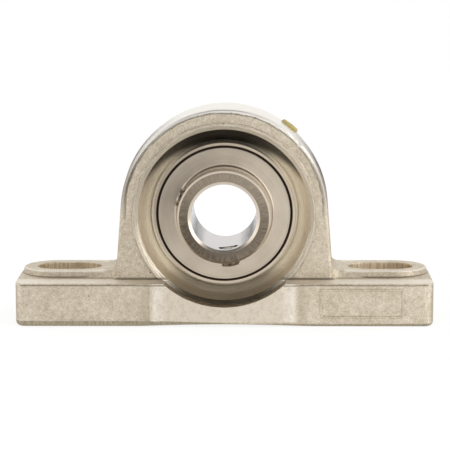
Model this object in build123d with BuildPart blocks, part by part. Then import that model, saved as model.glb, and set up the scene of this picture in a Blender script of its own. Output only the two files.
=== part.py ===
from build123d import *

import os
from math import cos, radians, sin, sqrt, tan

# Pillow block bearing unit with a stainless cast housing and a set-screw insert bearing.
# Millimetres. Base underside on Z = 0, shaft along Y, set-screw side towards -Y.

# ---- Driving dimensions ----------------------------------------------------------------
# Shaft and insert bearing
shaft_diameter = 20.0
shaft_height = 33.3              # shaft centre above the base underside
inner_ring_wall = 4.1
inner_ring_overhang = 2.6        # past the rear slinger
bore_chamfer = 1.0
ring_face_chamfer = 0.6
chamfer_depth = 0.7
inner_race_depth = 1.34          # of the inner raceway below its land
ball_diameter = 7.938
ball_count = 8
ball_start_angle = 22.5
ball_play = 0.02                 # between a ball and each raceway
raceway_conformity = 1.03        # groove radius over ball radius
outer_race_depth = 1.4           # of the outer raceway below its land
outer_ring_wall = 2.762          # behind the raceway, to the spherical outside of 47 mm
outer_ring_width = 17.0
outer_ring_edge = 0.3
seal_seat_step = 1.412           # from the land out to the seal's seat
seal_seat_depth = 2.8            # from the ring's side face to the seal's shoulder
lube_groove_offset = 4.05        # from the ball centres, towards the rear
lube_groove_width = 1.7
lube_groove_depth = 0.5
lube_hole_diameter = 1.4
lube_hole_count = 2

# Seals: a steel core bonded to rubber
seal_core_thickness = 0.5
seal_rubber_skin = 0.5
seal_bead = 0.55
seal_height = 1.9
lip_clearance = 0.05
lip_reach = 1.2
lip_tip = 0.5

# Slingers: pressed sheet on the inner ring
slinger_sheet = 0.5
slinger_gap = 0.6                # radial gap to the outer ring
slinger_recess = 0.1             # back of the disc, inside the outer ring's side face
slinger_collar = 1.2             # past the disc's face
slinger_bend = 0.9

# Ribbon cage: two pressed halves and rivets
cage_sheet = 0.7
cage_pocket_play = 0.15
cage_inner_gap = 0.9             # to the inner ring
cage_outer_gap = 0.85            # to the outer ring's land
rivet_diameter = 1.2
rivet_head_diameter = 2.1
rivet_head_height = 0.45
rivet_head_chamfer = 0.25
rivet_fit = 0.01

# Set screws
screw_diameter = 6.0
screw_thread_play = 0.05
screw_from_face = 5.0            # from the inner ring's front face
screw_collar_gap = 0.2           # from the front slinger's collar to a screw hole
screw_angles = {"a": 157.5, "b": 277.5}
screw_proud = 0.35               # above the inner ring
screw_tip_gap = 0.15             # from the shaft surface
screw_socket = 3.0               # across flats
screw_socket_depth = 2.0
screw_cup_depth = 0.4
screw_cup_rim = 0.8
screw_cup_taper = 45
screw_end_chamfer = 0.35

# Spherical seat in the housing
seat_clearance = 0.05
seat_half_width = 6.3
recess_flare = 3.5               # growth of the radius along the coned recess
rim_chamfer = 1.05
rim_chamfer_depth = 0.7
grease_groove_front = 1.9        # ends of the seat's grease groove, from the ball centres
grease_groove_rear = 4.2
grease_groove_depth = 0.8
loading_slot_play = 0.3          # wider than the outer ring
loading_slot_depth = 0.1         # deeper than the seat

# Locating pin in the outer ring, in a notch of the housing
pin_diameter = 2.0
pin_play = 0.04
pin_embed = 1.4
pin_proud = 0.9
pin_chamfer = 0.2
notch_side_play = 0.15
notch_top_play = 0.3
alignment_angle = 3.0

# Housing body
crown_wall = 8.45                # metal round the seat
crown_lift = 1.0                 # of the crown's centre above the shaft
upright_depth = 26.0
upright_draft = 2.0              # of the crown and flanks, both ways from mid-depth
upright_lean = 4.4               # of the flanks, wider towards the base
upright_edge_radius = 1.2
boss_height = 0.5                # rim boss above the upright's face
boss_land = 0.7                  # flat width of the boss outside the rim
boss_cone = 0.4
base_length = 127.0
base_width = 38.0
foot_top = 13.2                  # at the front and rear edges
foot_top_rise = 0.9              # from those edges to mid-width
foot_corner_radius = 3.0
foot_bottom_radius = 1.6
foot_top_radius = 0.5
bolt_spacing = 97.0
slot_length = 20.0
slot_width = 13.0
slot_edge_radius = 0.5
pad_wall = 4.4                   # metal round each bolt slot
pad_height = 2.65                # above the foot's front and rear edges
pad_draft = 4.0
pad_edge_radius = 0.6
pad_root_radius = 3.0            # where a pad's top runs into the upright
junction_radius = 0.8            # round the rest of the upright's foot
relief_length = 55.0
relief_height = 0.8
land_width = 45.5                # ground land on the front of the base
land_height = 0.3
land_inset = 1.5                 # above the base underside
pocket_length = 44.0
pocket_width = 22.0
pocket_depth = 2.6
pocket_corner_radius = 5.0

# Grease plug in the crown
plug_angle = 37.5                # from vertical, towards +X
plug_head_diameter = 5.8
plug_head_play = 0.3
plug_seat_depth = 0.9            # of the spot face below the crown
plug_head_height = 1.15
plug_dome = 0.25
plug_stem_diameter = 4.0
plug_stem_play = 0.05
plug_stem_length = 4.0
plug_stem_chamfer = 0.3
grease_passage_diameter = 3.0

# ---- Derived sizes ---------------------------------------------------------------------
bore_radius = shaft_diameter / 2
inner_radius = bore_radius + inner_ring_wall
ball_radius = ball_diameter / 2
groove_radius = ball_radius * raceway_conformity
inner_groove_bottom = inner_radius - inner_race_depth
pitch_radius = inner_groove_bottom + ball_play + ball_radius
outer_groove_bottom = pitch_radius + ball_radius + ball_play
outer_land_radius = outer_groove_bottom - outer_race_depth
outer_radius = outer_groove_bottom + outer_ring_wall
outer_half_width = outer_ring_width / 2
seal_bore_radius = outer_land_radius + seal_seat_step
seal_shoulder = outer_half_width - seal_seat_depth
seat_radius = outer_radius + seat_clearance
crown_radius = seat_radius + crown_wall
crown_centre = shaft_height + crown_lift
upright_half_depth = upright_depth / 2
boss_face = upright_half_depth + boss_height
base_half_width = base_width / 2
pad_top = foot_top + pad_height
slot_offset = bolt_spacing / 2
pad_half_width = slot_width / 2 + pad_wall
seat_edge_radius = sqrt(seat_radius**2 - seat_half_width**2)
recess_radius = seat_edge_radius + recess_flare
rim_radius = recess_radius + rim_chamfer
slinger_back = outer_half_width - slinger_recess
slinger_face = slinger_back + slinger_sheet
slinger_radius = seal_bore_radius - slinger_gap
collar_front = slinger_face + slinger_collar
screw_hole_radius = screw_diameter / 2
screw_y = -collar_front - screw_collar_gap - screw_hole_radius
inner_ring_front = screw_from_face - screw_y
inner_ring_rear = collar_front + inner_ring_overhang
screw_radius = screw_hole_radius - screw_thread_play
screw_length = inner_radius + screw_proud - bore_radius - screw_tip_gap
rivet_circle_start = ball_start_angle + 180 / ball_count

# ---- Shared datums ---------------------------------------------------------------------
touching = 0.01                  # two surfaces this near are taken to meet
shaft_axis = Axis((0, 0, shaft_height), (0, 1, 0))
radial_plane = Plane.XY.offset(shaft_height)     # local x is radial, local y is along the shaft
front_plane = Plane(origin=(0, 0, shaft_height), x_dir=(1, 0, 0), z_dir=(0, -1, 0))


def radial_direction(angle):
    """Unit direction across the shaft, counter-clockwise from +X as seen from the front."""
    return Vector(cos(radians(angle)), 0, sin(radians(angle)))


def plane_across(angle, distance, y=0.0):
    """Plane square to a radius of the shaft, at a distance from its centre."""
    direction = radial_direction(angle)
    centre = Vector(0, y, shaft_height) + direction * distance
    return Plane(origin=centre, x_dir=(0, 1, 0), z_dir=direction)


def groove_half_width(centre_radius, land_radius):
    """Half the width of a raceway where it meets the land beside it."""
    return sqrt(groove_radius**2 - (land_radius - centre_radius) ** 2)


def seat_point(y):
    """Point of the spherical seat's outline, at a distance along the shaft."""
    return (sqrt(seat_radius**2 - y**2), y)


def save(part, name):
    """Label a finished piece and write its file."""
    part.label = name
    export_step(part, f"parts/{name}.step")


os.makedirs("parts", exist_ok=True)

# ---- Housing: foot with bolt pads ------------------------------------------------------
with BuildPart() as foot:
    with BuildSketch(Plane.XY):
        RectangleRounded(base_length, base_width, foot_corner_radius)
    extrude(amount=pad_top)
    # The top is slightly arched between its front and rear edges.
    with BuildSketch(Plane.YZ):
        with BuildLine():
            ThreePointArc(
                (-base_half_width, foot_top), (0, foot_top + foot_top_rise), (base_half_width, foot_top)
            )
            Polyline(
                (base_half_width, foot_top),
                (base_half_width, 0),
                (-base_half_width, 0),
                (-base_half_width, foot_top),
            )
        make_face()
    extrude(amount=base_length, both=True, mode=Mode.INTERSECT)
    fillet(foot.faces().sort_by(Axis.Z)[-1].edges(), foot_top_radius)
    fillet(foot.faces().sort_by(Axis.Z)[0].edges(), foot_bottom_radius)
    # Each pad is a boss round its bolt slot that runs into the upright.
    with BuildSketch(Plane.XY.offset(foot_top)):
        for side in (-1, 1):
            with Locations((side * slot_offset, 0)):
                SlotOverall(slot_length + 2 * pad_wall, 2 * pad_half_width)
            with Locations((side * slot_offset / 2, 0)):
                Rectangle(slot_offset, 2 * pad_half_width)
    extrude(amount=pad_height, taper=pad_draft)
    fillet(foot.faces().sort_by(Axis.Z)[-1].outer_wire().edges(), pad_edge_radius)
    with BuildSketch(Plane.XY):
        with Locations((-slot_offset, 0), (slot_offset, 0)):
            SlotOverall(slot_length, slot_width)
    extrude(amount=pad_top, mode=Mode.SUBTRACT)
    fillet(foot.edges(Select.LAST).group_by(Axis.Z)[-1], slot_edge_radius)

# ---- Housing: upright with its crown ---------------------------------------------------
def upright_profile(plane, inset):
    """Crown arc on flanks that lean out, drawn a distance inside the full outline."""
    arc_radius = crown_radius - inset
    lean = radians(upright_lean)
    shoulder = (arc_radius * cos(lean), crown_centre + arc_radius * sin(lean))
    flank_foot = shoulder[0] + (shoulder[1] - foot_bottom_radius) * tan(lean)
    with BuildSketch(plane) as profile:
        with BuildLine():
            Polyline(
                (-shoulder[0], shoulder[1]),
                (-flank_foot, foot_bottom_radius),
                (flank_foot, foot_bottom_radius),
                shoulder,
            )
            ThreePointArc(
                shoulder, (0, crown_centre + arc_radius), (-shoulder[0], shoulder[1])
            )
        make_face()
    return profile.sketch


upright_inset = upright_half_depth * tan(radians(upright_draft))
with BuildPart() as upright:
    for side in (-1, 1):
        loft(
            [
                upright_profile(Plane.XZ, 0),
                upright_profile(Plane.XZ.offset(side * upright_half_depth), upright_inset),
            ],
            ruled=True,
        )
    face_rims = upright.faces().filter_by(Axis.Y).edges().filter_by(
        lambda edge: edge.center().Z > foot_top
    )
    fillet(face_rims, upright_edge_radius)

# ---- Housing: one casting, machined for the insert bearing ------------------------------
with BuildPart() as housing:
    add(upright.part)
    add(foot.part)
    for lowest, radius in ((pad_top, pad_root_radius), (foot_top, junction_radius)):
        junction = housing.edges().filter_by(
            lambda edge: edge.bounding_box().min.Z > lowest - touching
            and upright.part.distance_to(edge @ 0.5) < touching
            and foot.part.distance_to(edge @ 0.5) < touching
        )
        fillet(junction, radius)
    # Coned bosses stand round the opening on both faces of the upright.
    for side in (-1, 1):
        with BuildSketch(radial_plane):
            with BuildLine():
                Polyline(
                    (0, side * upright_half_depth / 2),
                    (rim_radius + boss_land + boss_cone, side * upright_half_depth / 2),
                    (rim_radius + boss_land + boss_cone, side * upright_half_depth),
                    (rim_radius + boss_land, side * boss_face),
                    (0, side * boss_face),
                    close=True,
                )
            make_face()
        revolve(axis=shaft_axis)
    # The ground land on the front of the foot, below the opening.
    with BuildSketch(Plane.XZ.offset(base_half_width - foot_bottom_radius)):
        with Locations((0, (foot_top + land_inset) / 2)):
            Rectangle(land_width, foot_top - land_inset)
    extrude(amount=foot_bottom_radius + land_height)
    # Opening, coned recess, spherical seat and its grease groove are turned on one axis.
    with BuildSketch(radial_plane):
        with BuildLine():
            ThreePointArc(
                seat_point(-seat_half_width),
                seat_point(-(seat_half_width + grease_groove_front) / 2),
                seat_point(-grease_groove_front),
            )
            Polyline(
                seat_point(-grease_groove_front),
                (seat_radius + grease_groove_depth, -grease_groove_front),
                (seat_radius + grease_groove_depth, grease_groove_rear),
                seat_point(grease_groove_rear),
            )
            ThreePointArc(
                seat_point(grease_groove_rear),
                seat_point((seat_half_width + grease_groove_rear) / 2),
                seat_point(seat_half_width),
            )
            Polyline(
                seat_point(seat_half_width),
                (recess_radius, boss_face - rim_chamfer_depth),
                (rim_radius, boss_face),
                (rim_radius, base_width),
                (0, base_width),
                (0, -base_width),
                (rim_radius, -base_width),
                (rim_radius, -boss_face),
                (recess_radius, rim_chamfer_depth - boss_face),
                seat_point(-seat_half_width),
            )
        make_face()
    revolve(axis=shaft_axis, mode=Mode.SUBTRACT)
    # Loading slots: the insert goes in edge-on from the rear and is then turned.
    with BuildSketch(front_plane):
        Circle(seat_radius + loading_slot_depth)
        Rectangle(2 * crown_radius, outer_ring_width + loading_slot_play, mode=Mode.INTERSECT)
    extrude(amount=-base_half_width, mode=Mode.SUBTRACT)
    # Notch over the locating pin, open to the rear.
    notch_reach = outer_radius * sin(radians(alignment_angle)) + pin_diameter
    with BuildSketch(Plane.XY.offset(shaft_height)):
        with Locations((0, (boss_face - notch_reach) / 2)):
            Rectangle(pin_diameter + 2 * notch_side_play, boss_face + notch_reach)
    extrude(amount=outer_radius + pin_proud + notch_top_play, mode=Mode.SUBTRACT)
    # Grease plug: spot face, stem hole and passage.
    plug_side, plug_rise = (crown_lift * turn(radians(plug_angle)) for turn in (sin, cos))
    crown_reach = plug_rise + sqrt(crown_radius**2 - plug_side**2)
    plug_seat = plane_across(90 - plug_angle, crown_reach - plug_seat_depth)
    with BuildSketch(plug_seat):
        Circle(plug_head_diameter / 2 + plug_head_play)
    extrude(amount=crown_wall, mode=Mode.SUBTRACT)
    with BuildSketch(plug_seat):
        Circle(plug_stem_diameter / 2 + plug_stem_play)
    extrude(amount=-plug_stem_length - plug_head_play, mode=Mode.SUBTRACT)
    with BuildSketch(plug_seat):
        Circle(grease_passage_diameter / 2)
    extrude(amount=-crown_wall, mode=Mode.SUBTRACT)
    # The underside is relieved between the feet and cored under the seat.
    with BuildSketch(Plane.XZ):
        with BuildLine():
            ThreePointArc(
                (-relief_length / 2, 0), (0, relief_height), (relief_length / 2, 0)
            )
            Line((-relief_length / 2, 0), (relief_length / 2, 0))
        make_face()
    extrude(amount=base_width, both=True, mode=Mode.SUBTRACT)
    with BuildSketch(Plane.XY):
        RectangleRounded(pocket_length, pocket_width, pocket_corner_radius)
    extrude(amount=pocket_depth, taper=pad_draft, mode=Mode.SUBTRACT)
save(housing.part, "housing")

# ---- Grease plug -----------------------------------------------------------------------
with BuildPart() as grease_plug:
    with BuildSketch(plug_seat):
        Circle(plug_head_diameter / 2)
    extrude(amount=plug_head_height)
    head_rim = grease_plug.edges(Select.LAST).sort_by(
        lambda edge: (edge.center() - plug_seat.origin).dot(plug_seat.z_dir)
    )[-1]
    chamfer(head_rim, plug_dome, 2 * plug_dome)
    with BuildSketch(plug_seat):
        Circle(plug_stem_diameter / 2)
    extrude(amount=-plug_stem_length)
    stem_rim = grease_plug.edges(Select.LAST).sort_by(
        lambda edge: (edge.center() - plug_seat.origin).dot(plug_seat.z_dir)
    )[0]
    chamfer(stem_rim, plug_stem_chamfer)
save(grease_plug.part, "grease_plug")

# ---- Outer ring ------------------------------------------------------------------------
outer_groove_centre = outer_groove_bottom - groove_radius
outer_groove_half = groove_half_width(outer_groove_centre, outer_land_radius)
edge_y = outer_half_width - outer_ring_edge
edge_radius = sqrt(outer_radius**2 - edge_y**2)
with BuildPart() as outer_ring:
    with BuildSketch(radial_plane):
        with BuildLine():
            Polyline(
                (edge_radius, edge_y),
                (edge_radius - outer_ring_edge, outer_half_width),
                (seal_bore_radius, outer_half_width),
                (seal_bore_radius, seal_shoulder),
                (outer_land_radius, seal_shoulder),
                (outer_land_radius, outer_groove_half),
            )
            ThreePointArc(
                (outer_land_radius, outer_groove_half),
                (outer_groove_bottom, 0),
                (outer_land_radius, -outer_groove_half),
            )
            Polyline(
                (outer_land_radius, -outer_groove_half),
                (outer_land_radius, -seal_shoulder),
                (seal_bore_radius, -seal_shoulder),
                (seal_bore_radius, -outer_half_width),
                (edge_radius - outer_ring_edge, -outer_half_width),
                (edge_radius, -edge_y),
            )
            ThreePointArc((edge_radius, -edge_y), (outer_radius, 0), (edge_radius, edge_y))
        make_face()
    revolve(axis=shaft_axis)
    # Lubrication groove and holes beside the raceway.
    groove_floor = sqrt(outer_radius**2 - lube_groove_offset**2) - lube_groove_depth
    with BuildSketch(radial_plane):
        with Locations((groove_floor + outer_radius / 2, lube_groove_offset)):
            Rectangle(outer_radius, lube_groove_width)
    revolve(axis=shaft_axis, mode=Mode.SUBTRACT)
    for index in range(lube_hole_count):
        hole_angle = 90 - plug_angle + index * 360 / lube_hole_count
        with BuildSketch(plane_across(hole_angle, 0, lube_groove_offset)):
            Circle(lube_hole_diameter / 2)
        extrude(amount=outer_radius, mode=Mode.SUBTRACT)
    # Blind hole for the locating pin.
    with BuildSketch(plane_across(90, outer_radius - pin_embed)):
        Circle(pin_diameter / 2 + pin_play)
    extrude(amount=pin_embed, mode=Mode.SUBTRACT)
save(outer_ring.part, "outer_ring")

with BuildPart() as locating_pin:
    with BuildSketch(plane_across(90, outer_radius - pin_embed + pin_play)):
        Circle(pin_diameter / 2)
    extrude(amount=pin_embed - pin_play + pin_proud)
    chamfer(locating_pin.edges().filter_by(GeomType.CIRCLE), pin_chamfer)
save(locating_pin.part, "locating_pin")

# ---- Inner ring ------------------------------------------------------------------------
inner_groove_centre = inner_groove_bottom + groove_radius
inner_groove_half = groove_half_width(inner_groove_centre, inner_radius)
with BuildPart() as inner_ring:
    with BuildSketch(radial_plane):
        with BuildLine():
            Polyline(
                (inner_radius, -inner_groove_half),
                (inner_radius, chamfer_depth - inner_ring_front),
                (inner_radius - ring_face_chamfer, -inner_ring_front),
                (bore_radius + bore_chamfer, -inner_ring_front),
                (bore_radius, chamfer_depth - inner_ring_front),
                (bore_radius, inner_ring_rear - chamfer_depth),
                (bore_radius + bore_chamfer, inner_ring_rear),
                (inner_radius - ring_face_chamfer, inner_ring_rear),
                (inner_radius, inner_ring_rear - chamfer_depth),
                (inner_radius, inner_groove_half),
            )
            ThreePointArc(
                (inner_radius, inner_groove_half),
                (inner_groove_bottom, 0),
                (inner_radius, -inner_groove_half),
            )
        make_face()
    revolve(axis=shaft_axis)
    for angle in screw_angles.values():
        with BuildSketch(plane_across(angle, 0, screw_y)):
            Circle(screw_hole_radius)
        extrude(amount=2 * inner_radius, mode=Mode.SUBTRACT)
save(inner_ring.part, "inner_ring")

# ---- Set screws ------------------------------------------------------------------------
for letter, angle in screw_angles.items():
    screw_tip = plane_across(angle, bore_radius + screw_tip_gap, screw_y)
    screw_top = plane_across(angle, inner_radius + screw_proud, screw_y)
    with BuildPart() as set_screw:
        with BuildSketch(screw_tip):
            Circle(screw_radius)
        extrude(amount=screw_length)
        chamfer(set_screw.edges().filter_by(GeomType.CIRCLE), screw_end_chamfer)
        # Hexagon socket in the outer end, cup point on the shaft side.
        with BuildSketch(screw_top):
            RegularPolygon(screw_socket / 2, 6, major_radius=False)
        extrude(amount=-screw_socket_depth, mode=Mode.SUBTRACT)
        with BuildSketch(screw_tip):
            Circle(screw_radius - screw_cup_rim)
        extrude(amount=screw_cup_depth, taper=screw_cup_taper, mode=Mode.SUBTRACT)
    save(set_screw.part, f"set_screw_{letter}")

# ---- Balls -----------------------------------------------------------------------------
for index in range(ball_count):
    ball_centre = radial_direction(ball_start_angle + index * 360 / ball_count) * pitch_radius
    with BuildPart() as ball:
        with Locations(ball_centre + Vector(0, 0, shaft_height)):
            Sphere(ball_radius)
    save(ball.part, f"ball_{index + 1}")

# ---- Cage: pressed ribbon halves held by rivets -----------------------------------------
cage_inner_radius = inner_radius + cage_inner_gap
cage_outer_radius = outer_land_radius - cage_outer_gap
pocket_radius = ball_radius + cage_pocket_play
for end, side in (("front", 1), ("rear", -1)):
    with BuildPart(front_plane) as cage_half:
        with PolarLocations(pitch_radius, ball_count, ball_start_angle):
            Sphere(pocket_radius + cage_sheet)
        with BuildSketch(front_plane):
            Circle(cage_outer_radius)
            Circle(cage_inner_radius, mode=Mode.SUBTRACT)
        extrude(amount=side * 2 * pocket_radius, mode=Mode.INTERSECT)
        with BuildSketch(front_plane):
            Circle(cage_outer_radius)
            Circle(cage_inner_radius, mode=Mode.SUBTRACT)
        extrude(amount=side * cage_sheet)
        with PolarLocations(pitch_radius, ball_count, ball_start_angle):
            Sphere(pocket_radius, mode=Mode.SUBTRACT)
        with BuildSketch(front_plane):
            with PolarLocations(pitch_radius, ball_count, rivet_circle_start):
                Circle(rivet_diameter / 2 + rivet_fit)
        extrude(amount=side * cage_sheet, mode=Mode.SUBTRACT)
    save(cage_half.part, f"cage_{end}")

with BuildPart(front_plane) as cage_rivets:
    with BuildSketch(front_plane):
        with PolarLocations(pitch_radius, ball_count, rivet_circle_start):
            Circle(rivet_diameter / 2)
    extrude(amount=cage_sheet, both=True)
    for side in (-1, 1):
        with BuildSketch(front_plane.offset(side * cage_sheet)):
            with PolarLocations(pitch_radius, ball_count, rivet_circle_start):
                Circle(rivet_head_diameter / 2)
        extrude(amount=side * rivet_head_height)
    rivet_rims = cage_rivets.edges().filter_by(GeomType.CIRCLE).group_by(Axis.Y)
    chamfer(rivet_rims[0] + rivet_rims[-1], rivet_head_chamfer)
save(cage_rivets.part, "cage_rivets")

# ---- Seals and slingers, one of each on both sides --------------------------------------
core_back = seal_shoulder + seal_rubber_skin
core_front = core_back + seal_core_thickness
core_outer_radius = seal_bore_radius - seal_bead
core_inner_radius = inner_radius + lip_reach + seal_rubber_skin
seal_front_y = seal_shoulder + seal_height
for end, side in (("front", -1), ("rear", 1)):
    # Pressed steel core, a flat washer with an upturned rim.
    with BuildPart() as seal_core:
        with BuildSketch(radial_plane):
            with BuildLine():
                Polyline(
                    (core_inner_radius, side * core_back),
                    (core_outer_radius, side * core_back),
                    (core_outer_radius, side * seal_front_y),
                    (core_outer_radius - seal_core_thickness, side * seal_front_y),
                    (core_outer_radius - seal_core_thickness, side * core_front),
                    (core_inner_radius, side * core_front),
                    close=True,
                )
            make_face()
        revolve(axis=shaft_axis)
    save(seal_core.part, f"seal_core_{end}")

    # Moulded rubber: bead in the outer ring, skin behind the core and a lip on the inner ring.
    lip_radius = inner_radius + lip_clearance
    with BuildPart() as seal:
        with BuildSketch(radial_plane):
            with BuildLine():
                Polyline(
                    (seal_bore_radius, side * seal_front_y),
                    (seal_bore_radius, side * seal_shoulder),
                    (core_inner_radius - seal_rubber_skin, side * seal_shoulder),
                    (lip_radius, side * (seal_front_y - 2 * lip_tip)),
                    (lip_radius, side * (seal_front_y - lip_tip)),
                    (core_inner_radius, side * core_front),
                    (core_inner_radius, side * core_back),
                    (core_outer_radius, side * core_back),
                    (core_outer_radius, side * seal_front_y),
                    close=True,
                )
            make_face()
        revolve(axis=shaft_axis)
    save(seal.part, f"seal_{end}")

    # Slinger: collar pressed on the inner ring, bend, and a disc that shields the seal.
    with BuildPart() as slinger:
        with BuildSketch(radial_plane):
            with BuildLine():
                Polyline(
                    (inner_radius, side * slinger_back),
                    (slinger_radius, side * slinger_back),
                    (slinger_radius, side * slinger_face),
                    (inner_radius + slinger_sheet + slinger_bend, side * slinger_face),
                )
                RadiusArc(
                    (inner_radius + slinger_sheet + slinger_bend, side * slinger_face),
                    (inner_radius + slinger_sheet, side * (slinger_face + slinger_bend)),
                    side * slinger_bend,
                )
                Polyline(
                    (inner_radius + slinger_sheet, side * (slinger_face + slinger_bend)),
                    (inner_radius + slinger_sheet, side * collar_front),
                    (inner_radius, side * collar_front),
                    (inner_radius, side * slinger_back),
                )
            make_face()
        revolve(axis=shaft_axis)
    save(slinger.part, f"slinger_{end}")
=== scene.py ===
from math import cos, pi, radians, sin

import bmesh
import bpy
from mathutils import Matrix, Vector


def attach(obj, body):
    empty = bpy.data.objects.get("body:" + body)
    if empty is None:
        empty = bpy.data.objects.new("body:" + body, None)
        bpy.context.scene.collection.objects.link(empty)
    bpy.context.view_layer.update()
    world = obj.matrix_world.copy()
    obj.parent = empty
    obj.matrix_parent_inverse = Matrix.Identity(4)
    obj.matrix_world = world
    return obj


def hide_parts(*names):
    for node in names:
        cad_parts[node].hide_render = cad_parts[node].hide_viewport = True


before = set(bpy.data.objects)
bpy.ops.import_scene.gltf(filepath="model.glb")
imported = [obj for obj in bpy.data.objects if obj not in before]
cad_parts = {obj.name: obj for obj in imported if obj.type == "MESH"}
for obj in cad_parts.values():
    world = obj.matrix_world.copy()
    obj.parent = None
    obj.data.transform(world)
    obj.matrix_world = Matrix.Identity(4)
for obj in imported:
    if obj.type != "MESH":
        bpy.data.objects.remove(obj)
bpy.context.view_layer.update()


# ---- Housing ---------------------------------------------------------------------------
# One stainless steel investment casting: foot, upright and crown. It is bead blasted all
# over, belt ground round its outer edge, turned inside the opening and ground under the
# feet and on the front land.

# Sizes are in millimetres, and MM turns them into metres where a mesh or the camera is placed.
MM = 0.001
shaft_height = 33.3
crown_centre = 34.3
face_edge = 30.1
flank_lean = radians(4.4)
upright_face = 13.0
upright_foot = 33.0
opening_radius = 27.24
chamfer_radius = 26.16
cone_middle = 24.5
boss_radius = 28.4
boss_face_depth = 13.5
land_depth = 19.3
land_end = 22.75
foot_end = 63.5
foot_front = 19.0
foot_top = 13.2
foot_underside = 0.05
pad_inner_end = 36.0
pad_half_width = 10.9
pad_top = 15.85
slot_middle = 48.5
slot_straight = 7.0
slot_width = 13.0

cast_light = (0.860, 0.780, 0.655, 1)
cast_tan = (0.660, 0.570, 0.455, 1)
cast_dark = (0.450, 0.375, 0.262, 1)
cast_pit = (0.200, 0.170, 0.130, 1)
# Painted shade, for the dark lines at edges, in creases, on pad walls and at corners.
painted_shade_line = (0.230, 0.185, 0.130, 1)
# A painted highlight, for glints, the ledge and the pad rims.
painted_highlight = (0.960, 0.900, 0.810, 1)
toe_painted_shade = (0.330, 0.285, 0.195, 1)
slot_gold = (0.860, 0.730, 0.540, 1)
slot_brown = (0.500, 0.400, 0.270, 1)
cone_painted_light = (0.980, 0.930, 0.830, 1)
cone_painted_shade_low = (0.550, 0.515, 0.450, 1)
cone_painted_shade_top = (0.085, 0.078, 0.066, 1)
chamfer_steel = (0.600, 0.540, 0.440, 1)
chamfer_painted_shade = (0.095, 0.078, 0.055, 1)
boss_steel = (0.720, 0.640, 0.520, 1)
land_steel = (0.760, 0.680, 0.565, 1)
land_bright = (0.970, 0.905, 0.805, 1)
flank_painted_shade = (0.300, 0.270, 0.235, 1)
belt_shadow = (0.420, 0.365, 0.295, 1)
crown_painted_highlight = (1.000, 0.970, 0.915, 1)


class Paint:
    """A socket of a material's nodes. Sums and products of it add Math nodes."""

    def __init__(self, tree, socket):
        self.tree = tree
        self.socket = socket

    def node(self, kind, settings, sockets, output=0):
        """Adds a node with its settings, fills or links its sockets, and gives one output."""
        made = self.tree.nodes.new("ShaderNode" + kind)
        for name, setting in settings.items():
            setattr(made, name, setting)
        for name, given in sockets.items():
            if isinstance(given, Paint):
                self.tree.links.new(given.socket, made.inputs[name])
            else:
                made.inputs[name].default_value = given
        return Paint(self.tree, made.outputs[output])

    def math(self, operation, *terms):
        return self.node("Math", {"operation": operation}, dict(enumerate(terms)))

    def __add__(self, other):
        return self.math("ADD", self, other)

    __radd__ = __add__

    def __sub__(self, other):
        return self.math("SUBTRACT", self, other)

    def __rsub__(self, other):
        return self.math("SUBTRACT", other, self)

    def __mul__(self, other):
        return self.math("MULTIPLY", self, other)

    __rmul__ = __mul__

    def __truediv__(self, other):
        return self.math("DIVIDE", self, other)

    def __pow__(self, other):
        return self.math("POWER", self, other)

    def __abs__(self):
        return self.math("ABSOLUTE", self)

    def __or__(self, other):
        """The higher of the two: where either mask is white."""
        return self.math("MAXIMUM", self, other)

    def step(self, low, high):
        """0 at low and 1 at high, with a soft change between; high may be below low."""
        span = {"From Min": min(low, high), "From Max": max(low, high)}
        ends = {"To Min": float(low > high), "To Max": float(low < high)}
        return self.node("MapRange", {"interpolation_type": "SMOOTHSTEP"}, {"Value": self, **span, **ends})

    def band(self, low, full, last, high):
        """1 from full to last, with a soft fall to 0 at low on one side and high on the other."""
        return self.step(low, full) * self.step(high, last)

    def mix(self, low, high):
        """A colour between low and high, by this share."""
        return self.node("Mix", {"data_type": "RGBA"}, {"Factor": self, 6: low, 7: high}, output=2)


class Finish:
    """A procedural material, with places on its piece in millimetres from the object's origin."""

    def __init__(self, name, slot_colour):
        self.material = bpy.data.materials.new(name)
        self.material.use_nodes = True
        self.material.diffuse_color = slot_colour
        self.tree = self.material.node_tree
        self.shader = self.tree.nodes["Principled BSDF"]
        start = Paint(self.tree, None)
        metres = start.node("TexCoord", {}, {}, output="Object")
        self.place = start.node("VectorMath", {"operation": "SCALE"}, {0: metres, "Scale": 1 / MM})
        self.x, self.y, self.z = (
            start.node("SeparateXYZ", {}, {0: self.place}, output=axis) for axis in range(3)
        )
        across = self.z - shaft_height
        self.radius = (self.x * self.x + across * across) ** 0.5
        self.turn = start.math("ARCTAN2", across, self.x)

    def spot(self, x, y, z=0.0):
        """A place with its own scale each way, for a pattern that is drawn out."""
        return self.place.node("CombineXYZ", {}, {0: x, 1: y, 2: z})

    def noise(self, scale, detail=2.0, rough=0.5, at=None):
        sockets = {"Vector": at or self.place, "Scale": scale, "Detail": detail, "Roughness": rough}
        return self.place.node("TexNoise", {}, sockets)

    def stretched(self, across, along):
        """Noise drawn out round the shaft's axis: close lines across, long ones along."""
        return self.noise(1.0, 3.0, 0.6, self.spot(self.radius * across, self.y * across, self.turn * along))

    def feed(self, **sockets):
        """Sets or links the shader's own sockets, named with _ for a space."""
        for name, given in sockets.items():
            socket = self.shader.inputs[name.replace("_", " ")]
            if isinstance(given, Paint):
                self.tree.links.new(given.socket, socket)
            else:
                socket.default_value = given

    def bump(self, height, depth):
        """Raises the surface by height, a share of depth in millimetres."""
        normal = self.place.node("Bump", {}, {"Height": height * depth, "Distance": MM})
        self.feed(Normal=normal)

    def dress(self, *names):
        """Gives the finish to CAD nodes."""
        for name in names:
            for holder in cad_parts[name].material_slots:
                holder.material = self.material


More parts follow.
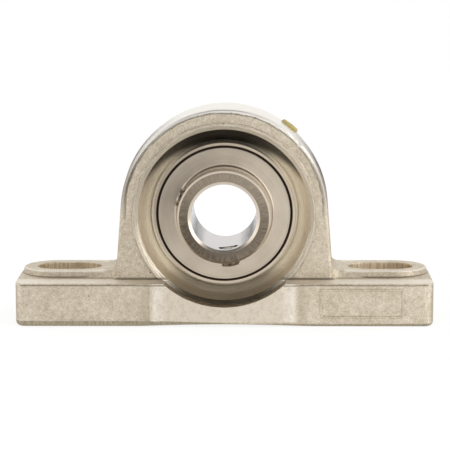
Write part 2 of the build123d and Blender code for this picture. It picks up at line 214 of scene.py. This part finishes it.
casting = Finish("cast_stainless", cast_tan)
along_foot = abs(casting.x)
off_middle = abs(casting.y)
from_crown = casting.z - crown_centre
across_arc = (casting.x * casting.x + from_crown * from_crown) ** 0.5
across_flank = along_foot * cos(flank_lean) + from_crown * sin(flank_lean)
above_flank = from_crown.step(2.0, 3.0)
outline = above_flank * across_arc + (1 - above_flank) * across_flank
wander = (casting.noise(0.35, 2.0) - 0.5) * 0.9 + (casting.noise(1.6, 2.0) - 0.5) * 0.35
rim = outline + wander

# The belt grinds the crown's edge. A dark, broken line along it on both faces is painted shade.
ground_edge = rim.step(face_edge - 0.1, face_edge + 0.1) * from_crown.step(-4.0, 8.0)
crown_edge_shade = rim.band(face_edge - 0.35, face_edge - 0.1, face_edge, face_edge + 0.25)
crown_edge_shade = crown_edge_shade * off_middle.step(upright_face - 1.5, upright_face - 1.1)
crown_edge_shade = crown_edge_shade * from_crown.step(-6.0, 2.0) * casting.noise(0.3).step(0.25, 0.5)

# Turned: the opening and the boss round it. Ground: the underside and the front land.
opening = casting.radius.step(opening_radius + 0.05, opening_radius)
boss_skin = off_middle.band(
    boss_face_depth - 0.5, boss_face_depth - 0.4, boss_face_depth + 0.05, boss_face_depth + 0.1
)
boss = casting.radius.step(boss_radius, boss_radius - 0.1) * boss_skin
turned = opening | boss
underside = casting.z.step(foot_underside, 0.0)
machined = turned | underside
land_patches = 0.45 + casting.noise(0.7, 3.0, 0.7).step(0.25, 0.75) * 0.55
land_fade = (along_foot + wander * 2.0).step(land_end + 0.25, land_end - 2.35)
ground_land = casting.y.step(0.04 - land_depth, 0.01 - land_depth) * land_patches * land_fade
blasted = (1 - machined) * (1 - ground_edge * 0.8) * (1 - ground_land * 0.45)

# The foot: a painted shadow line along the front's upper edge, a painted highlight on the
# ledge above it, painted shade on the toe, and painted shade beside the land and on the end corners.
front_wall = casting.y.step(0.5 - foot_front, 0.2 - foot_front)
ledge_line = casting.z + wander * 0.5
ledge_shadow_line = front_wall * ledge_line.band(foot_top - 0.75, foot_top - 0.55, foot_top - 0.4, foot_top - 0.2)
ledge_highlight = casting.z.band(foot_top - 0.05, foot_top + 0.1, foot_top + 0.6, foot_top + 0.8)
ledge_highlight = ledge_highlight * off_middle.step(upright_face - 0.4, upright_face + 0.6)
toe_height = 0.95 + casting.x.step(10.0, -20.0) * 0.85 + (casting.noise(0.5, 2.0) - 0.5) * 0.4
toe_shade = (casting.z - toe_height).step(0.12, -0.08) * (1 - underside)
land_shade = along_foot.band(land_end - 2.75, land_end - 0.75, land_end + 0.75, land_end + 4.25)
land_shade = land_shade * front_wall * (1 - ground_land)
foot_corner_shade = along_foot.step(foot_end - 1.2, foot_end - 0.4)
foot_corner_shade = foot_corner_shade * casting.z.step(foot_top - 0.2, foot_top - 0.9)

# The slots and pads, by the distance from a slot's middle line.
slot_reach = abs(along_foot - slot_middle) - slot_straight / 2
slot_end = slot_reach | 0.0
slot_radius = (slot_end * slot_end + casting.y * casting.y) ** 0.5
slot_wall = slot_radius.step(slot_width / 2 + 0.12, slot_width / 2 + 0.04)
slot_streaks = casting.noise(1.0, 3.0, 0.6, casting.spot(casting.x * 1.6, casting.y * 1.6, casting.z * 0.12))
on_pad = along_foot.step(pad_inner_end, pad_inner_end + 2.0)
# The pads get a painted highlight along their top rim and painted shade on their walls.
pad_rim_highlight = slot_radius.step(pad_half_width - 1.1, pad_half_width - 0.5) * on_pad
pad_rim_highlight = pad_rim_highlight * casting.z.step(pad_top - 0.50, pad_top - 0.25)
pad_wall_shade = slot_radius.step(pad_half_width - 0.5, pad_half_width - 0.1) * on_pad
pad_wall_shade = pad_wall_shade * casting.z.band(foot_top + 0.9, foot_top + 1.2, pad_top - 0.5, pad_top - 0.3)

# Painted shade in the creases at the roots of the upright and the pads.
at_upright = off_middle.band(upright_face - 0.5, upright_face - 0.2, upright_face + 0.6, upright_face + 0.9)
at_upright = at_upright * along_foot.step(upright_foot + 1.0, upright_foot)
at_pad = slot_radius.band(
    pad_half_width - 0.6, pad_half_width - 0.2, pad_half_width + 0.4, pad_half_width + 0.7
)
at_pad = at_pad * along_foot.step(pad_inner_end - 1.0, pad_inner_end + 1.0)
root = (casting.z + wander * 0.2).step(foot_top + 0.2, foot_top + 0.4)
root = root * casting.z.step(foot_top + 1.2, foot_top + 0.8)
crease_shade = root * (at_upright | at_pad)

# The blasted skin: wide patches, dents, grain, a few painted glints and sparse pits.
patches = casting.noise(0.11, 3.0, 0.6)
blotches = casting.noise(0.7, 3.0, 0.6)
grain = casting.noise(2.0, 3.0, 0.7)
fine_grain = casting.noise(5.0, 2.0, 0.6)
pit_cells = {"Vector": casting.place, "Scale": 0.32, "Randomness": 1.0}
pit_reach = casting.place.node("TexVoronoi", {"feature": "F1"}, pit_cells)
pit_draw = casting.place.node("TexVoronoi", {"feature": "F1"}, pit_cells, "Color")
pit_chance = casting.place.node("SeparateColor", {}, {0: pit_draw}).step(0.72, 0.78)
pits = pit_reach.step(0.10, 0.06) * pit_chance * blasted
speckle = (grain * 0.40 + fine_grain * 0.34 + blotches * 0.26).step(0.36, 0.64)
painted_glints = casting.noise(2.6, 2.0, 0.6).step(0.665, 0.72) * blasted
sanded = (patches.step(0.3, 0.7) * 0.20 + speckle * 0.80).mix(cast_dark, cast_light)
skin = (painted_glints * 0.75).mix(sanded, painted_highlight)

# Belt lines run round the crown and on down its flanks. The ground band is painted light on top of the crown
# and painted shade down the flanks.
arc_turn = casting.place.math("ARCTAN2", from_crown, casting.x)
belt_spot = casting.spot(arc_turn * 5.0, casting.y * 4.5, casting.z.step(30.0, 0.0) * 3.0)
belt_lines = casting.noise(1.0, 4.0, 0.65, belt_spot)
belt_light_and_shade = from_crown.step(9.0, 27.0).mix(flank_painted_shade, crown_painted_highlight)
belt_ground = (belt_lines.step(0.62, 0.30) * 0.22 + speckle * 0.06).mix(belt_light_and_shade, belt_shadow)

# The turned cone is painted dark above and below the insert and bright at its sides, a painted reflection,
# with a chamfer outside that is painted dark at the bottom.
rise = (casting.z - shaft_height) / casting.radius
upper = (rise + (casting.radius - cone_middle) * 0.13).step(0.46, 0.80)
lower = rise.step(-0.62, -0.93)
cone = upper.mix(lower.mix(cone_painted_light, cone_painted_shade_low), cone_painted_shade_top)
chamfer = casting.radius.step(chamfer_radius - 0.06, chamfer_radius + 0.06)
recess = chamfer.mix(cone, lower.mix(chamfer_steel, chamfer_painted_shade))
foot_cut = off_middle.step(boss_face_depth - 0.05, boss_face_depth + 0.15)
bored = opening.mix(boss_steel, foot_cut.mix(recess, boss_steel))

# The colours are laid over each other: skin, grinding, turning, then painted shade lines and painted
# highlights.
belted = (ground_edge * 0.85).mix(skin, belt_ground)
shaded = (land_shade * 0.35).mix(belted, cast_dark)
land_tone = abs(casting.x + wander).step(16.0, 21.5).mix(land_steel, land_bright)
landed = (ground_land * 0.9).mix(shaded, land_tone)
cut = machined.mix(landed, bored)
lined = ((crown_edge_shade | ledge_shadow_line) * 0.85 * (1 - turned)).mix(cut, painted_shade_line)
ledged = (ledge_highlight * 0.60).mix(lined, painted_highlight)
rimmed = (pad_rim_highlight * 0.55).mix(ledged, painted_highlight)
creased = (crease_shade * 0.85).mix(rimmed, painted_shade_line)
slotted = (slot_wall * 0.8).mix(creased, slot_streaks.step(0.3, 0.7).mix(slot_brown, slot_gold))
walled = (pad_wall_shade * 0.14).mix(slotted, painted_shade_line)
cornered = (foot_corner_shade * 0.35).mix(walled, painted_shade_line)
toed = (toe_shade * (0.62 + slot_streaks.step(0.35, 0.65) * 0.35)).mix(cornered, toe_painted_shade)
casting.feed(
    Base_Color=pits.mix(toed, cast_pit),
    Metallic=1.0,
    Roughness=0.46 + grain * 0.12 - machined * 0.30 - ground_land * 0.10 - ground_edge * 0.20,
)
tool_marks = casting.stretched(9.0, 1.5)
cast_relief = (grain * 0.6 + fine_grain * 0.25 + blotches * 0.5) * blasted - pits
casting.bump(cast_relief + tool_marks * machined * 0.40 + belt_lines * ground_edge * 0.15, 0.22)
casting.dress("housing")


def pick_faces(piece, wanted):
    """Selects the faces that are wanted, in edit mode, and nothing else."""
    bpy.ops.mesh.select_all(action="DESELECT")
    cells = bmesh.from_edit_mesh(piece.data)
    for face in cells.faces:
        if wanted(face):
            face.select_set(True)
    bmesh.update_edit_mesh(piece.data)


def pick_edges(piece, wanted):
    """Selects the edges whose two ends are wanted, in edit mode, and nothing else."""
    bpy.ops.mesh.select_all(action="DESELECT")
    bpy.ops.mesh.select_mode(type="EDGE")
    cells = bmesh.from_edit_mesh(piece.data)
    for edge in cells.edges:
        if wanted(edge.verts[0].co, edge.verts[1].co):
            edge.select_set(True)
    bmesh.update_edit_mesh(piece.data)


def settle(piece, place):
    """Moves a piece to its place, leaves its origin at the object's, and smooths its shading."""
    bpy.ops.object.select_all(action="DESELECT")
    piece.select_set(True)
    bpy.context.view_layer.objects.active = piece
    piece.matrix_world = place
    bpy.ops.object.transform_apply(location=True, rotation=True, scale=True)
    bpy.ops.object.shade_smooth_by_angle(angle=radians(35))


# The ragged lip that the boring tool raised round the opening. It stands a little proud of
# the boss, down to the foot, at the front and the rear.
lip_radius = 27.98
lip_width = 0.15
lip_ragged = 0.08
lip_end = foot_top + 0.9

for side, lip_name in ((-1, "opening_lip_front"), (1, "opening_lip_rear")):
    bpy.ops.object.select_all(action="DESELECT")
    bpy.ops.mesh.primitive_torus_add(
        major_radius=lip_radius * MM, minor_radius=lip_width * MM, major_segments=300, minor_segments=10
    )
    lip = bpy.context.object
    lip.name = lip_name
    bpy.ops.object.mode_set(mode="EDIT")
    bpy.ops.mesh.select_all(action="SELECT")
    bpy.ops.transform.vertex_random(offset=lip_ragged * MM, uniform=0.5, normal=0.5, seed=3 + side)
    bpy.ops.mesh.bisect(
        plane_co=(0, (lip_end - shaft_height) * MM, 0), plane_no=(0, -1, 0),
        use_fill=True, clear_outer=True,
    )
    bpy.ops.object.mode_set(mode="OBJECT")
    settle(lip, Matrix.Translation(Vector((0, side * boss_face_depth * MM, shaft_height * MM)))
           @ Matrix.Rotation(pi / 2, 4, "X"))
    lip.data.materials.append(casting.material)
    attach(lip, "housing")

# A bare raised frame on the right foot's front, cast with the housing.
panel_left, panel_right = 28.9, 54.4
panel_low, panel_high = 2.66, 11.74
panel_line = 0.75
panel_corner = 0.9
panel_root = 0.1
panel_shoulder = 0.22
panel_proud = 0.26
panel_ragged = 0.03

bpy.ops.object.select_all(action="DESELECT")
bpy.ops.mesh.primitive_plane_add(size=MM)
panel = bpy.context.object
panel.name = "foot_panel"
bpy.ops.object.mode_set(mode="EDIT")
bpy.ops.mesh.select_all(action="SELECT")
bpy.ops.transform.resize(value=(panel_right - panel_left, panel_high - panel_low, 1))
bpy.ops.mesh.bevel(offset=panel_corner * MM, segments=4, affect="VERTICES")
bpy.ops.mesh.select_mode(type="FACE")
bpy.ops.mesh.select_all(action="SELECT")
bpy.ops.mesh.inset(thickness=panel_line * MM, depth=0)
pick_faces(panel, lambda face: face.calc_center_median().length < MM)
bpy.ops.mesh.delete(type="FACE")
bpy.ops.mesh.select_all(action="SELECT")
bpy.ops.mesh.subdivide(number_cuts=3)
bpy.ops.mesh.select_all(action="SELECT")
bpy.ops.mesh.extrude_region_move(TRANSFORM_OT_translate={"value": (0, 0, panel_root * MM)})
bpy.ops.mesh.inset(thickness=panel_shoulder * MM, depth=panel_proud * MM)
bpy.ops.transform.vertex_random(offset=panel_ragged * MM, uniform=0.5, seed=5)
bpy.ops.object.mode_set(mode="OBJECT")
panel_middle = Vector((
    (panel_left + panel_right) / 2 * MM, (panel_root - foot_front) * MM, (panel_low + panel_high) / 2 * MM
))
settle(panel, Matrix.Translation(panel_middle) @ Matrix.Rotation(pi / 2, 4, "X"))
panel.data.materials.append(casting.material)
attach(panel, "housing")


# ---- Grease plug -----------------------------------------------------------------------
# A snap-in plug that closes the grease hole in the crown, moulded in translucent yellow
# plastic. A thicker barb on its stem holds it in the hole.
plug_turn = radians(37.5)
plug_seat = 31.88
plug_radius = 2.9
plug_height = 1.85
plug_round = 0.75
plug_ring = 1.5
plug_dimple = 0.3
stem_radius = 1.95
stem_neck = 1.7
stem_tip = 1.4
plug_yellow = (0.52, 0.42, 0.15, 1)
plug_olive = (0.34, 0.275, 0.085, 1)

bpy.ops.object.select_all(action="DESELECT")
bpy.ops.mesh.primitive_cylinder_add(vertices=64, radius=plug_radius * MM, depth=plug_height * MM)
plug = bpy.context.object
plug.name = "plug_cap"
bpy.ops.object.mode_set(mode="EDIT")
bpy.ops.mesh.select_mode(type="FACE")
pick_faces(plug, lambda face: face.normal.z > 0.9)
bpy.ops.mesh.inset(thickness=plug_ring * MM, depth=0)
bpy.ops.mesh.inset(thickness=plug_dimple * MM, depth=-plug_dimple * MM)
pick_faces(plug, lambda face: face.normal.z < -0.9)
bpy.ops.mesh.inset(thickness=(plug_radius - stem_radius) * MM, depth=0)
stem_runs = ((0.4, stem_neck), (1.6, stem_neck), (0.5, stem_radius), (1.0, stem_radius), (0.45, stem_tip))
wide = stem_radius
for length, width in stem_runs:
    bpy.ops.mesh.extrude_region_move(TRANSFORM_OT_translate={"value": (0, 0, -length * MM)})
    bpy.ops.transform.resize(value=(width / wide, width / wide, 1), center_override=(0, 0, 0))
    wide = width
pick_edges(plug, lambda low, high: min(low.z, high.z) > plug_height / 2 * MM - 1e-6
           and min(low.xy.length, high.xy.length) > (plug_radius - 0.01) * MM)
bpy.ops.mesh.bevel(offset=plug_round * MM, segments=5, profile=0.5, affect="EDGES")
bpy.ops.object.mode_set(mode="OBJECT")
settle(plug, Matrix.Translation(Vector((0, 0, shaft_height * MM))) @ Matrix.Rotation(plug_turn, 4, "Y")
       @ Matrix.Translation(Vector((0, 0, (plug_seat + plug_height / 2) * MM))))

plastic = Finish("plug_plastic", plug_yellow)
plastic.feed(
    Base_Color=plastic.noise(0.35).step(0.3, 0.7).mix(plug_olive, plug_yellow),
    Roughness=0.26 + plastic.noise(3.0) * 0.15,
    IOR=1.49,
    Subsurface_Weight=0.25,
    Subsurface_Scale=0.002,
)
plastic.bump(plastic.noise(2.5), 0.03)
plug.data.materials.append(plastic.material)
plastic.dress("grease_plug")
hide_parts("grease_plug")
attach(plug, "plug")


# ---- Outer ring and locating pin -------------------------------------------------------
# Hardened stainless ring, ground on its spherical outside and on its side faces, with a
# small steel pin that keeps it from turning in the housing.
ring_half_width = 8.0
corner_radius = 20.96
sphere_start = 21.85
ring_tan = (0.50, 0.41, 0.30, 1)
ring_light = (0.80, 0.71, 0.58, 1)
corner_painted_shade = (0.042, 0.022, 0.012, 1)
sphere_polished = (0.960, 0.910, 0.830, 1)

race_steel = Finish("ring_steel", ring_light)
lines = race_steel.stretched(14.0, 2.0)
side_face = abs(race_steel.y).step(ring_half_width - 0.4, ring_half_width)
# The corner at the edge of the bore is painted black, a painted shade for the gap beside the slinger.
bore_corner_shade = race_steel.radius.step(corner_radius + 0.06, corner_radius - 0.06) * side_face
sphere = race_steel.radius.step(sphere_start, sphere_start + 0.15)
ground_tone = (lines.step(0.3, 0.75) * 0.6 + race_steel.noise(0.25) * 0.4).mix(ring_tan, ring_light)
race_steel.feed(
    Base_Color=bore_corner_shade.mix(sphere.mix(ground_tone, sphere_polished), corner_painted_shade),
    Metallic=1.0,
    Roughness=0.24 + lines * 0.12,
)
race_steel.bump(lines, 0.008)
race_steel.dress("outer_ring", "locating_pin")


# ---- Balls and cage --------------------------------------------------------------------
# Polished steel balls in a ribbon cage. The cage is two pressed strips with round pockets,
# held together by flat rivets between the balls.
ball_bright = (0.78, 0.78, 0.77, 1)
ball_grey = (0.72, 0.71, 0.70, 1)
strip_grey = (0.55, 0.52, 0.48, 1)
strip_pale = (0.66, 0.63, 0.58, 1)

polish = Finish("ball_steel", ball_bright)
polish.feed(
    Base_Color=polish.noise(0.8).mix(ball_bright, ball_grey),
    Metallic=1.0,
    Roughness=0.06 + polish.noise(3.0) * 0.06,
)
polish.bump(polish.noise(9.0), 0.002)
polish.dress(*(f"ball_{number}" for number in range(1, 9)))

strip = Finish("cage_steel", strip_grey)
strip.feed(
    Base_Color=strip.noise(0.7).mix(strip_grey, strip_pale),
    Metallic=1.0,
    Roughness=0.34 + strip.noise(4.0) * 0.14,
)
strip.bump(strip.noise(5.0), 0.012)
strip.dress("cage_front", "cage_rear", "cage_rivets")


# ---- Inner ring ------------------------------------------------------------------------
# The long ring that grips the shaft, of hardened stainless steel. Its end faces are ground,
# and their dark colour is partly painted reflection; its bore is honed bright.
ring_front = -18.25
ring_rear = 12.65
bore_radius = 10.0
face_dark_and_reflection = (0.080, 0.062, 0.042, 1)
face_light_and_sheen = (0.500, 0.420, 0.325, 1)
bore_bright = (0.51, 0.470, 0.455, 1)
body_steel = (0.68, 0.60, 0.50, 1)

grip = Finish("inner_ring_steel", body_steel)
front_end = grip.y.step(ring_front + 0.03, ring_front - 0.03)
rear_end = grip.y.step(ring_rear - 0.03, ring_rear + 0.03)
end_face = front_end + rear_end
honed = grip.radius.step(bore_radius + 0.05, bore_radius + 0.02)
brushing = grip.noise(1.0, 4.0, 0.7, grip.spot(grip.turn * 38.0, grip.radius * 0.35))
turning = grip.stretched(10.0, 1.2)

# The end faces carry painted light: lighter towards the top, and a little towards the right.
face_painted_light = (grip.z - shaft_height).step(-6.0, 13.0) * 0.50 + grip.x.step(-12.0, 12.0) * 0.12
face = (brushing.step(0.30, 0.72) * 0.44 + face_painted_light).mix(face_dark_and_reflection, face_light_and_sheen)
steel = end_face.mix(body_steel, face)
grip.feed(
    Base_Color=honed.mix(steel, bore_bright),
    Metallic=1.0,
    Roughness=0.25 + brushing * end_face * 0.2 - honed * 0.1 + turning * 0.06,
)
grip.bump(brushing * end_face * 3.5 + turning * (1 - end_face) * 0.5, 0.020)
grip.dress("inner_ring")


# ---- Seals -----------------------------------------------------------------------------
# Black nitrile rubber moulded on a pressed steel core, one seal on each side. They are
# snapped into the outer ring, and their lips run close to the inner ring.
rubber_black = (0.034, 0.015, 0.008, 1)
rubber_worn = (0.048, 0.026, 0.016, 1)
core_grey = (0.55, 0.52, 0.48, 1)
core_dark = (0.34, 0.31, 0.27, 1)

rubber = Finish("seal_rubber", rubber_black)
rubber.feed(
    Base_Color=rubber.noise(0.5).mix(rubber_black, rubber_worn),
    Roughness=0.6 + rubber.noise(3.0) * 0.25,
    Specular_IOR_Level=0.25,
)
rubber.bump(rubber.noise(6.0), 0.02)
rubber.dress("seal_front", "seal_rear")

core = Finish("core_steel", core_grey)
core.feed(
    Base_Color=core.stretched(6.0, 1.0).mix(core_dark, core_grey),
    Metallic=1.0,
    Roughness=0.38 + core.noise(3.0) * 0.12,
)
core.bump(core.stretched(9.0, 2.0), 0.01)
core.dress("seal_core_front", "seal_core_rear")


# ---- Slingers --------------------------------------------------------------------------
# Thin stainless discs with a bent collar, pressed on the inner ring outside the seals. They
# are slightly dished, turn with the ring and throw dirt clear.
dish_start = 15.4
dish_end = 19.5
dish_slope = 0.07
satin_warm = (0.66, 0.575, 0.47, 1)
satin_dark = (0.53, 0.455, 0.36, 1)

satin = Finish("slinger_steel", satin_warm)
wipes = satin.stretched(5.0, 1.0)
satin.feed(
    Base_Color=(wipes * 0.5 + satin.noise(0.12) * 0.5).step(0.3, 0.7).mix(satin_dark, satin_warm),
    Metallic=1.0,
    Roughness=0.30 + wipes * 0.10 + satin.noise(5.0) * 0.05,
)

# The discs' slight dish is drawn as a bump, not in the mesh.
past_start = satin.radius | dish_start
dish = past_start.math("MINIMUM", past_start, dish_end) * -dish_slope
satin.bump(satin.noise(7.0) * 0.008 + wipes * 0.030 + dish, 1.0)
satin.dress("slinger_front", "slinger_rear")


# ---- Set screws ------------------------------------------------------------------------
# Two socket set screws of dark machined steel, turned in through the inner ring. Their cup
# points bite into the shaft and lock the ring on it.
screw_turns = {"a": 157.5, "b": 277.5}
screw_depth = -13.3
screw_inner, screw_outer = 10.15, 15.35
screw_radius = 2.95
thread_pitch = 1.0
thread_side = thread_pitch / 3 ** 0.5
thread_flatten = 0.62
thread_turns = 8
thread_steps = 40
screw_bevel = 0.5
socket_flats = 3.0
socket_depth = 2.2
cup_radius = 2.1
cup_depth = 0.45
screw_dark = (0.36, 0.335, 0.30, 1)
screw_brown = (0.25, 0.215, 0.17, 1)
screw_pale = (0.66, 0.60, 0.52, 1)

screw_steel = Finish("screw_steel", screw_dark)
screw_steel.feed(
    Base_Color=screw_steel.noise(0.9).step(0.35, 0.65).mix(screw_brown, screw_pale),
    Metallic=1.0,
    Roughness=0.26 + screw_steel.noise(4.0) * 0.2,
)
screw_steel.bump(screw_steel.noise(6.0), 0.015)
screw_steel.dress("set_screw_a", "set_screw_b")

screw_length = screw_outer - screw_inner
bpy.ops.object.select_all(action="DESELECT")
bpy.ops.mesh.primitive_circle_add(vertices=3, radius=thread_side * MM, fill_type="NOTHING")
screw = bpy.context.object
bpy.ops.object.mode_set(mode="EDIT")
bpy.ops.mesh.select_all(action="SELECT")
for axis in "XY":
    bpy.ops.transform.rotate(value=pi / 2, orient_axis=axis, center_override=(0, 0, 0))
bpy.ops.transform.resize(value=(thread_flatten, 1, 1), center_override=(0, 0, 0))
shape = bmesh.from_edit_mesh(screw.data)
crest = max(shape.verts, key=lambda corner: abs(corner.co.x))
if crest.co.x < 0:
    bpy.ops.transform.rotate(value=pi, orient_axis="Z", center_override=(0, 0, 0))
pick_edges(screw, lambda one, other: max(one.x, other.x) < 0)
bpy.ops.mesh.delete(type="EDGE")
bpy.ops.mesh.select_all(action="SELECT")
thread_middle = screw_radius - thread_side * thread_flatten
bpy.ops.transform.translate(value=(thread_middle * MM, 0, -thread_pitch * MM))
bpy.ops.object.mode_set(mode="OBJECT")
thread = screw.modifiers.new("thread", "SCREW")
thread.screw_offset = thread_pitch * MM
thread.iterations = thread_turns
thread.steps = thread.render_steps = thread_steps
bpy.ops.object.modifier_apply(modifier="thread")
bpy.ops.object.mode_set(mode="EDIT")
bpy.ops.mesh.select_all(action="SELECT")
bpy.ops.mesh.remove_doubles(threshold=0.005 * MM)
for height, up in ((0.0, -1), (screw_length, 1)):
    bpy.ops.mesh.select_all(action="SELECT")
    bpy.ops.mesh.bisect(
        plane_co=(0, 0, height * MM), plane_no=(0, 0, up), use_fill=True, clear_outer=True
    )
bpy.ops.mesh.select_all(action="SELECT")
bpy.ops.mesh.normals_make_consistent(inside=False)
bpy.ops.object.mode_set(mode="OBJECT")


def cut_screw(operation, sides, low_radius, high_radius, low, high):
    """Cuts the screw with a turned or six-sided tool between two heights above its tip."""
    bpy.ops.object.select_all(action="DESELECT")
    bpy.ops.mesh.primitive_cone_add(
        vertices=sides, radius1=low_radius * MM, radius2=high_radius * MM, depth=(high - low) * MM,
        location=(0, 0, (low + high) / 2 * MM),
    )
    tool = bpy.context.object
    if operation == "INTERSECT":
        bpy.ops.object.mode_set(mode="EDIT")
        pick_edges(tool, lambda one, other: abs(one.z - other.z) < 1e-7)
        bpy.ops.mesh.bevel(offset=screw_bevel * MM, segments=1, affect="EDGES")
        bpy.ops.object.mode_set(mode="OBJECT")
    bpy.ops.object.select_all(action="DESELECT")
    screw.select_set(True)
    bpy.context.view_layer.objects.active = screw
    cut = screw.modifiers.new("cut", "BOOLEAN")
    cut.operation, cut.object, cut.solver = operation, tool, "EXACT"
    bpy.ops.object.modifier_apply(modifier="cut")
    bpy.data.objects.remove(tool)


cut_screw("INTERSECT", 80, screw_radius + 0.01, screw_radius + 0.01, 0.0, screw_length)
socket_radius = socket_flats / 2 / cos(pi / 6)
cut_screw("DIFFERENCE", 6, socket_radius, socket_radius, screw_length - socket_depth, screw_length + 1)
cut_screw("DIFFERENCE", 48, 2 * cup_radius, 0.0, -cup_depth, cup_depth)

for letter, degrees in screw_turns.items():
    bpy.ops.object.select_all(action="DESELECT")
    copied = screw.copy()
    copied.data = screw.data.copy()
    copied.name = f"socket_screw_{letter}"
    bpy.context.scene.collection.objects.link(copied)
    settle(copied, Matrix.Translation(Vector((0, screw_depth * MM, shaft_height * MM)))
           @ Matrix.Rotation(radians(90 - degrees), 4, "Y")
           @ Matrix.Translation(Vector((0, 0, screw_inner * MM))))
    copied.data.materials.append(screw_steel.material)
    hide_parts(f"set_screw_{letter}")
    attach(copied, f"screw_{letter}")
bpy.data.objects.remove(screw)


# ---- Studio ----------------------------------------------------------------------------
# A pale floor in a white tent. Black cards beside the set give the metal something dark to
# reflect, and two soft boxes light it, the stronger one from the right. All of these are
# placed in metres.
floor_half = 4.0
floor_pale = (0.86, 0.86, 0.86, 1)
card_black = (0.02, 0.02, 0.02, 1)

bpy.ops.object.select_all(action="DESELECT")
bpy.ops.mesh.primitive_plane_add(size=2 * floor_half, location=(0, 0, 0))
floor = bpy.context.object
floor.name = "studio_floor"
floor_finish = bpy.data.materials.new("floor_paper")
floor_finish.use_nodes = True
paper_nodes = floor_finish.node_tree
paper = Paint(paper_nodes, None)
paper_nodes.nodes.remove(paper_nodes.nodes["Principled BSDF"])
matt = paper.node("BsdfDiffuse", {}, {"Color": floor_pale})
white = paper.node("Emission", {}, {"Color": (1, 1, 1, 1), "Strength": 1.05})
seen, mirrored, through = (
    paper.node("LightPath", {}, {}, f"Is {name} Ray") for name in ("Camera", "Glossy", "Transmission")
)
glow = (seen + mirrored + through) * 0.8
lit = paper.node("MixShader", {}, {0: glow, 1: matt, 2: white})
paper_nodes.links.new(lit.socket, paper_nodes.nodes["Material Output"].inputs["Surface"])
floor.data.materials.append(floor_finish)

world = bpy.data.worlds.new("white_tent")
bpy.context.scene.world = world
world.use_nodes = True
backdrop = world.node_tree.nodes["Background"]
backdrop.inputs["Color"].default_value = (1, 1, 1, 1)
backdrop.inputs["Strength"].default_value = 1.0

black_card = bpy.data.materials.new("black_card")
black_card.use_nodes = True
card_shader = black_card.node_tree.nodes["Principled BSDF"]
card_shader.inputs["Base Color"].default_value = card_black
card_shader.inputs["Roughness"].default_value = 0.9


def flag(name, place, turn, width, height):
    """A black card beside the set, which the metal reflects and the camera doesn't see."""
    bpy.ops.object.select_all(action="DESELECT")
    bpy.ops.mesh.primitive_plane_add(size=1, location=place, rotation=turn)
    card = bpy.context.object
    card.name = name
    card.scale = (width, height, 1)
    card.data.materials.append(black_card)
    card.visible_camera = False
    card.visible_shadow = False
    card.visible_diffuse = False


flag("flag_floor", (-0.06, -0.36, 0.0005), (0, 0, 0), 0.10, 0.42)
flag("flag_rear_left", (-0.13, 0.50, 0.0005), (0, 0, 0), 0.16, 0.80)
flag("flag_rear_right", (0.15, 0.50, 0.0005), (0, 0, 0), 0.16, 0.80)
flag("flag_horizon_left", (-0.39, 1.00, 0.100), (pi / 2, 0, 0), 0.44, 0.20)
flag("flag_horizon_right", (0.39, 1.00, 0.075), (pi / 2, 0, 0), 0.44, 0.15)
flag("flag_top", (0, -0.30, 0.40), (radians(-35), 0, 0), 0.80, 0.50)
flag("flag_front", (-0.19, -0.52, 0.08), (pi / 2, 0, radians(-20)), 0.29, 0.30)


def soft_box(name, place, aim, width, height, power):
    """An area lamp at a place in metres, turned to shine at a point."""
    lamp = bpy.data.lights.new(name, "AREA")
    lamp.shape = "RECTANGLE"
    lamp.size = width
    lamp.size_y = height
    lamp.energy = power
    holder = bpy.data.objects.new(name, lamp)
    holder.location = place
    holder.rotation_euler = (Vector(aim) - Vector(place)).to_track_quat("-Z", "Y").to_euler()
    bpy.context.scene.collection.objects.link(holder)


middle = (0, 0, shaft_height * MM)
soft_box("right_box", (0.80, -0.50, 0.36), middle, 0.8, 0.7, 2.6)
soft_box("left_box", (-0.80, -0.50, 0.36), middle, 0.8, 0.7, 0.8)

# The camera stands in front of the bearing, a little above it and to the right.
camera_distance = 540.9
camera_raise = 8.09
camera_turn = 0.956
camera_roll = -0.139
camera_aim = (0.034, 0.0, 28.54)
picture_width = 450
focal_pixels = 1735.8

lens = bpy.data.cameras.new("product_camera")
lens.sensor_width = 36.0
lens.lens = focal_pixels / picture_width * lens.sensor_width
lens.clip_start = 0.01
lens.clip_end = 20.0
camera = bpy.data.objects.new("product_camera", lens)
bpy.context.scene.collection.objects.link(camera)
raised, turned_by = radians(camera_raise), radians(camera_turn)
back = Vector((sin(turned_by) * cos(raised), -cos(turned_by) * cos(raised), sin(raised)))
right = (-back).cross(Vector((0, 0, 1))).normalized()
up = right.cross(-back)
tilt = radians(camera_roll)
right_rolled = cos(tilt) * right + sin(tilt) * up
up_rolled = cos(tilt) * up - sin(tilt) * right
pose = Matrix((right_rolled, up_rolled, back)).transposed().to_4x4()
pose.translation = (Vector(camera_aim) + back * camera_distance) * MM
camera.matrix_world = pose
bpy.context.scene.camera = camera
bpy.context.scene.view_settings.view_transform = "Standard"
